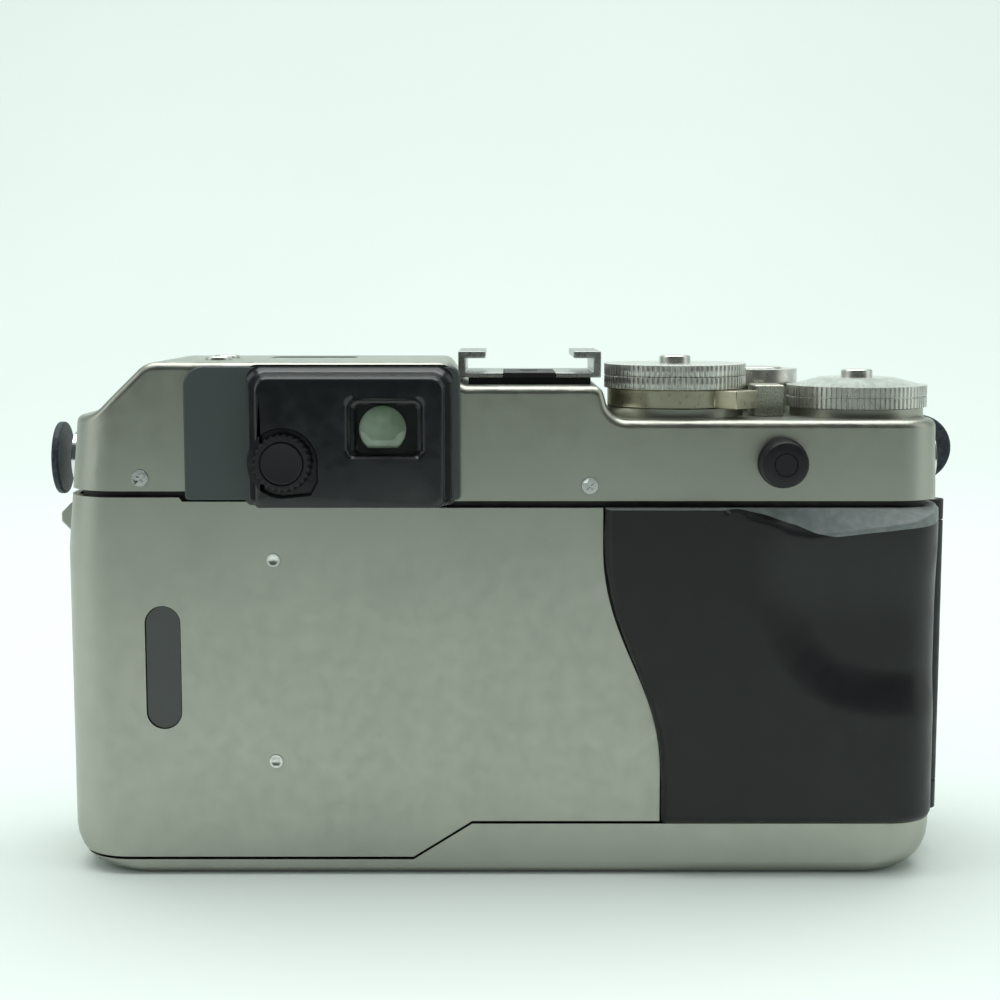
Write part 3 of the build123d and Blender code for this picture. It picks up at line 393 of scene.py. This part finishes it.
dial_metal = new_finish("satin_turned_metal", (0.70, 0.70, 0.66), 1.0, 0.30)
vary_colour(dial_metal, noise_on(dial_metal, 500, 4), (0.66, 0.66, 0.62), (0.76, 0.76, 0.715))
vary_roughness(dial_metal, noise_on(dial_metal, 1400, 3), 0.26, 0.38)
grain(dial_metal, noise_on(dial_metal, 8000, 2), 0.12, 0.00002)
finish_node("door_rivets", dial_metal, 0.00015, 3)

# --- Dials, rings and buttons on the top ------------------------------------------
# Turned metal, knurled round the rim and satin on top. The release button stands
# in the switch collar; small locks stand in the middle of the dials.

for node in ("shutter_dial", "compensation_ring", "focus_dial", "aperture_ring"):
    finish_node(node, dial_metal, 0.00005, 1)
for node in ("shutter_dial_lock", "focus_dial_lock", "release_button", "main_switch", "drive_button",
             "iso_button", "lens_release_button"):
    finish_node(node, dial_metal, 0.00015, 3)

gold = new_finish("pale_gold_metal", (0.56, 0.53, 0.40), 1.0, 0.30)
vary_roughness(gold, noise_on(gold, 1400, 3), 0.26, 0.38)
finish_node("bracket_lever", gold, 0.00012, 3)

# --- Eyepiece ------------------------------------------------------------------------
# A moulded black block: a satin panel on the left blends into a raised polished
# frame round the finder window. The diopter dial sits in a D-shaped well.

gloss = new_finish("polished_black_plastic", (0.010, 0.011, 0.013), 0.0, 0.16)
vary_roughness(gloss, noise_on(gloss, 500, 4), 0.12, 0.26)
satin_black = new_finish("satin_blue_black_plastic", (0.050, 0.062, 0.062), 0.0, 0.42)
vary_roughness(satin_black, noise_on(satin_black, 400, 3), 0.36, 0.48)
grain(satin_black, noise_on(satin_black, 5200, 2), 0.10, 0.00002)

eye_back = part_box("eyepiece_housing")[1].y / mm
eye_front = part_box("eyepiece_housing")[0].y / mm
dial_centre = (-34.9, 61.4)


def rounded_outline(x0, x1, z0, z1, radii, y, turns=6):
    """A rectangle in the XZ plane with its own radius at each corner: right top, left top, left foot, right foot."""
    points = []
    for (cx, cz, start), r in zip(((x1, z1, 0), (x0, z1, 90), (x0, z0, 180), (x1, z0, 270)), radii):
        mx = cx - r if cx == x1 else cx + r
        mz = cz - r if cz == z1 else cz + r
        for part in range(turns + 1):
            turn = radians(start + 90 * part / turns)
            points.append((mx + r * cos(turn), y, mz + r * sin(turn)))
    return points


def ring_loop(form, points):
    """A closed loop of edges through the points, in millimetres."""
    corners = [form.verts.new(Vector(p) * mm) for p in points]
    return [form.edges.new((a, b)) for a, b in zip(corners, corners[1:] + corners[:1])]


def stacked(form, outlines, cap=True):
    """Loops bridged one to the next; the last is filled."""
    loops = [ring_loop(form, outline) for outline in outlines]
    for first, second in zip(loops, loops[1:]):
        bmesh.ops.bridge_loops(form, edges=first + second)
    if cap:
        bmesh.ops.holes_fill(form, edges=loops[-1], sides=0)
    return loops


eye_top = 74.9
eye_foot = 55.0
panel_stand = 0.75
frame_stand = 4.95
panel_form = bmesh.new()
panel_radii = (1.6, 3.0, 0.6, 0.6)
stacked(panel_form, [rounded_outline(-49.4, -9.95, 55.75, eye_top, panel_radii, eye_back),
                     rounded_outline(-49.4, -9.95, 55.75, eye_top, panel_radii, eye_back - panel_stand),
                     rounded_outline(-49.2, -10.15, 55.95, eye_top - 0.2, (1.4, 2.8, 0.5, 0.5), eye_back - 0.95)])
bmesh.ops.recalc_face_normals(panel_form, faces=panel_form.faces)
mark_edges(panel_form, 35)
eye_panel = add_piece(panel_form, "eyepiece_panel", "camera_body", satin_black)

frame_form = bmesh.new()
frame_steps = []
for inset, depth in ((-1.6, 0.85), (-1.15, 1.0), (-0.55, 1.7), (-0.2, 3.0), (-0.05, 4.2), (0.12, 4.62), (0.4, 4.86),
                     (0.75, frame_stand)):
    left = -38.9 + inset * 1.15
    foot = eye_foot if inset < 0 else eye_foot + inset * 0.6
    frame_steps.append(rounded_outline(left, -11.9 - inset * 0.9 - 0.2, foot, 73.5 - inset,
                                       (2.0, 1.9, 1.0, 1.2), eye_back - depth))
frame_loops = stacked(frame_form, frame_steps, cap=False)
window = [rounded_outline(-26.4, -14.6, 61.7, 71.0, (1.5, 1.5, 1.5, 1.5), eye_back - frame_stand),
          rounded_outline(-26.1, -14.9, 62.0, 70.7, (1.2, 1.2, 1.2, 1.2), eye_back - frame_stand),
          rounded_outline(-25.7, -15.3, 62.3, 70.35, (1.1, 1.1, 1.1, 1.1), eye_back - 4.6),
          rounded_outline(-25.3, -15.5, 62.3, 70.1, (1.0, 1.0, 1.0, 1.0), eye_back - 3.7),
          rounded_outline(-24.9, -15.7, 62.1, 69.8, (1.0, 1.0, 1.0, 1.0), eye_back - 3.6),
          rounded_outline(-24.7, -15.8, 62.2, 69.7, (1.0, 1.0, 1.0, 1.0), eye_back - 2.6)]
window_loops = stacked(frame_form, window, cap=False)


def well_outline(r, y):
    """The dial's D-shaped well: round, with a straight right-hand side running down."""
    points = []
    cx, cz = dial_centre
    for part in range(25):
        turn = radians(-90 - 270 * part / 24)
        points.append((cx + r * cos(turn), y, cz + r * sin(turn)))
    points.append((cx + r, y, cz - r * 0.55))
    points.append((cx + r * 0.8, y, cz - r * 0.92))
    return points


well = [well_outline(5.0, eye_back - frame_stand), well_outline(4.75, eye_back - 4.7),
        well_outline(4.7, eye_back - 3.9)]
well_loops = stacked(frame_form, well)
bmesh.ops.triangle_fill(frame_form, edges=frame_loops[-1] + window_loops[0] + well_loops[0], use_beauty=True,
                        use_dissolve=False, normal=(0, -1, 0))
bmesh.ops.recalc_face_normals(frame_form, faces=frame_form.faces)
mark_edges(frame_form, 40)
eye_frame = add_piece(frame_form, "eyepiece_frame", "camera_body", gloss)
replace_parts(eye_frame, "eyepiece_housing")

finish_node("timer_lamp", gloss, 0.0001, 2)

# The dial is a knurled cup with a smooth dished cap pressed into it.


def knurled_ring(form, cx, cz, r, y0, y1, teeth, depth, inner):
    """A knurled ring on an axis along Y, with chamfered rims, open in the middle."""
    outlines = []
    for y, cut, tooth in ((y0, 0.0, 0.0), (y1 + 0.45, 0.0, 1.0), (y1 + 0.12, 0.12, 1.0),
                          (y1, 0.35, 0.3), (y1, r - inner, 0.0)):
        loop = []
        for part in range(teeth * 4):
            turn = 2 * pi * part / (teeth * 4)
            groove = depth * tooth * (1.0 if part % 4 in (2, 3) else 0.0)
            reach = r - cut - groove
            loop.append((cx + reach * cos(turn), y, cz + reach * sin(turn)))
        outlines.append(loop)
    stacked(form, outlines, cap=False)


def disc_steps(form, cx, cz, steps, count=48):
    """A turned form on an axis along Y from (radius, y) pairs, closed at its last radius."""
    stacked(form, [[(cx + r * cos(2 * pi * k / count), y, cz + r * sin(2 * pi * k / count)) for k in range(count)]
                   for r, y in steps])


diopter = bmesh.new()
dial_out = eye_front - 1.0
knurled_ring(diopter, *dial_centre, 4.15, eye_back - 4.05, dial_out, 26, 0.28, 3.15)
disc_steps(diopter, *dial_centre, [(3.15, dial_out), (3.15, dial_out + 0.35), (3.0, dial_out + 0.4),
                                   (2.95, dial_out + 0.12), (2.75, dial_out - 0.02), (0.6, dial_out + 0.1)])
bmesh.ops.remove_doubles(diopter, verts=diopter.verts, dist=weld_gap)
bmesh.ops.recalc_face_normals(diopter, faces=diopter.faces)
mark_edges(diopter, 30)
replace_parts(add_piece(diopter, "diopter_dial_knurled", "diopter_dial", moulded), "diopter_dial")

# The finder glass is coated glass, cut flat along its foot, in a dark surround. Its pale colour is painted light: it
# stands in for the bright view seen through the finder.

# Painted light: the pale green-grey base colour stands in for light coming through the finder, not for the colour of
# the glass.
finder_view_light = new_finish("painted_bright_finder_glass", (0.20, 0.27, 0.19), 0.0, 0.06)
finder_view_light.node_tree.nodes["Principled BSDF"].inputs["Coat Weight"].default_value = 1.0
vary_colour(finder_view_light, noise_on(finder_view_light, 240, 2), (0.14, 0.19, 0.13), (0.26, 0.33, 0.25))
vary_roughness(finder_view_light, noise_on(finder_view_light, 200, 2), 0.04, 0.10)
surround = bmesh.new()
stacked(surround, [rounded_outline(-24.8, -15.7, 62.1, 69.8, (1.0,) * 4, eye_back - 2.65),
                   rounded_outline(-24.5, -16.0, 62.4, 69.5, (0.9,) * 4, eye_back - 2.2)])
bmesh.ops.recalc_face_normals(surround, faces=surround.faces)
mark_edges(surround, 30)
add_piece(surround, "finder_surround", "camera_body", smoked)


def glass_outline(r, y, cx=-20.9, cz=66.0):
    """A round glass cut flat along its foot."""
    points = []
    for part in range(37):
        turn = radians(-52 + 284 * part / 36)
        points.append((cx + r * cos(turn), y, cz + r * sin(turn)))
    return points


glass_form = bmesh.new()
stacked(glass_form, [glass_outline(3.35, eye_back - 2.25), glass_outline(3.35, eye_back - 2.5),
                     glass_outline(3.1, eye_back - 2.7), glass_outline(2.0, eye_back - 2.85)])
bmesh.ops.recalc_face_normals(glass_form, faces=glass_form.faces)
mark_edges(glass_form, 40)
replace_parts(add_piece(glass_form, "finder_glass", "camera_body", finder_view_light), "eyepiece_lens")

# --- Flash-sync socket's cap ----------------------------------------------------------
# A push-in cap of hard black plastic with a round groove in its face.

cap_low, cap_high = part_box("sync_cap")
cap_x, cap_z = (cap_low.x + cap_high.x) / 2 / mm, (cap_low.z + cap_high.z) / 2 / mm
cap_face, cap_seat = cap_low.y / mm, cap_high.y / mm
cap_form = bmesh.new()
disc_steps(cap_form, cap_x, cap_z, [(3.0, cap_seat), (3.6, cap_seat), (3.6, cap_seat - 0.5), (3.45, cap_seat - 0.75),
                                    (3.3, cap_face + 0.5), (3.12, cap_face + 0.12), (2.85, cap_face),
                                    (1.72, cap_face), (1.66, cap_face + 0.14), (1.56, cap_face + 0.14),
                                    (1.5, cap_face), (0.4, cap_face)], 64)
bmesh.ops.recalc_face_normals(cap_form, faces=cap_form.faces)
mark_edges(cap_form, 30)
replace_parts(add_piece(cap_form, "sync_cap_turned", "sync_cap", moulded), "sync_cap")

# --- Strap lugs' guards -------------------------------------------------------------
# Small discs of blue-black grained leather behind each strap lug.

leather = new_finish("blue_black_leather", (0.016, 0.022, 0.034), 0.0, 0.55)
vary_colour(leather, noise_on(leather, 1500, 3), (0.010, 0.014, 0.022), (0.035, 0.045, 0.062))
grain(leather, noise_on(leather, 1700, 3), 0.6, 0.00025)
finish_node("lug_guards", leather, 0.0003, 3)

# --- Lens -----------------------------------------------------------------------------
# A short metal barrel in the covers' finish, with a knurled aperture ring and
# coated glass set deep in a black bell.

for node in ("lens_barrel", "lens_front"):
    finish_node(node, plated, 0.0002, 3)
lens_glass = new_finish("coated_lens_glass", (0.02, 0.015, 0.035), 0.0, 0.03)
lens_glass.node_tree.nodes["Principled BSDF"].inputs["Coat Weight"].default_value = 1.0
vary_colour(lens_glass, noise_on(lens_glass, 60, 1), (0.018, 0.012, 0.035), (0.03, 0.03, 0.05))
finish_node("lens_elements", lens_glass)

# --- Studio ------------------------------------------------------------------------------
# A pale floor sweeping up into a pale wall, one broad light over it, and a dark
# card on the viewer's side for the metal to reflect.

paper = new_finish("pale_paper", (0.80, 0.86, 0.83), 0.0, 0.85)
vary_colour(paper, noise_on(paper, 3, 2), (0.79, 0.852, 0.822), (0.81, 0.868, 0.838))
floor_front = -1.6
floor_half = 2.4
wall_start = 0.55
wall_bend = 0.45
wall_top = 1.9
sweep = bmesh.new()
ends = [sweep.verts.new((x, floor_front, 0)) for x in (-floor_half, floor_half)]
strip = [sweep.edges.new(ends)]
path = [(wall_start, 0.0)]
path += [(wall_start + wall_bend * sin(radians(t)), wall_bend - wall_bend * cos(radians(t))) for t in range(10, 91, 10)]
path += [(wall_start + wall_bend, wall_top)]
at = (floor_front, 0.0)
for y, z in path:
    more = bmesh.ops.extrude_edge_only(sweep, edges=strip)["geom"]
    bmesh.ops.translate(sweep, verts=[v for v in more if isinstance(v, bmesh.types.BMVert)],
                        vec=(0, y - at[0], z - at[1]))
    strip = [e for e in more if isinstance(e, bmesh.types.BMEdge)
             and all(abs(v.co.y - y) < 1e-6 and abs(v.co.z - z) < 1e-6 for v in e.verts)]
    at = (y, z)
for face in sweep.faces:
    face.smooth = True
sweep_mesh = bpy.data.meshes.new("backdrop")
bmesh.ops.recalc_face_normals(sweep, faces=sweep.faces)
sweep.to_mesh(sweep_mesh)
sweep.free()
backdrop = bpy.data.objects.new("backdrop", sweep_mesh)
backdrop.data.materials.append(paper)
bpy.context.scene.collection.objects.link(backdrop)

card_finish = new_finish("dark_card", (0.03, 0.035, 0.033), 0.0, 0.9)
card_width, card_height = 1.5, 0.8
card_place = (0, -0.42, 0.412)
card = bmesh.new()
bmesh.ops.create_grid(card, x_segments=1, y_segments=1, size=0.5)
bmesh.ops.scale(card, verts=card.verts, vec=(card_width, card_height, 1))
bmesh.ops.rotate(card, verts=card.verts, matrix=Matrix.Rotation(radians(90), 3, "X"))
bmesh.ops.translate(card, verts=card.verts, vec=card_place)
card_mesh = bpy.data.meshes.new("dark_card")
card.to_mesh(card_mesh)
card.free()
dark_card = bpy.data.objects.new("dark_card", card_mesh)
dark_card.data.materials.append(card_finish)
bpy.context.scene.collection.objects.link(dark_card)
dark_card.visible_camera = False
dark_card.visible_shadow = False
dark_card.visible_diffuse = False


def soft_light(name, width, height, power, colour, place, target):
    light = bpy.data.lights.new(name, "AREA")
    light.shape = "RECTANGLE"
    light.size, light.size_y = width, height
    light.energy = power
    light.color = colour
    lamp = bpy.data.objects.new(name, light)
    lamp.location = place
    lamp.rotation_euler = (Vector(target) - Vector(place)).to_track_quat("-Z", "Y").to_euler()
    bpy.context.scene.collection.objects.link(lamp)


soft_light("over_light", 1.4, 1.0, 13, (0.96, 1.0, 0.985), (0.0, 0.15, 1.1), (0, 0, 0.03))
soft_light("left_light", 0.5, 0.7, 1.0, (0.95, 1.0, 0.98), (-0.9, -0.15, 0.4), (0, 0, 0.04))
soft_light("right_light", 0.5, 0.7, 0.8, (0.95, 1.0, 0.98), (0.9, -0.1, 0.4), (0, 0, 0.04))

bpy.context.scene.view_settings.view_transform = "Standard"
world = bpy.data.worlds.new("studio")
bpy.context.scene.world = world
world.use_nodes = True
world.node_tree.nodes["Background"].inputs["Color"].default_value = (0.80, 0.88, 0.84, 1)
world.node_tree.nodes["Background"].inputs["Strength"].default_value = 0.5

camera = bpy.data.cameras.new("camera")
camera.sensor_width = 36
camera.lens = 61.8
camera.clip_start = 0.01
viewer = bpy.data.objects.new("camera", camera)
viewer.location = (-0.0043, -0.259, 0.084)
viewer.rotation_euler = (radians(83.4), 0, 0)
bpy.context.scene.collection.objects.link(viewer)
bpy.context.scene.camera = viewer
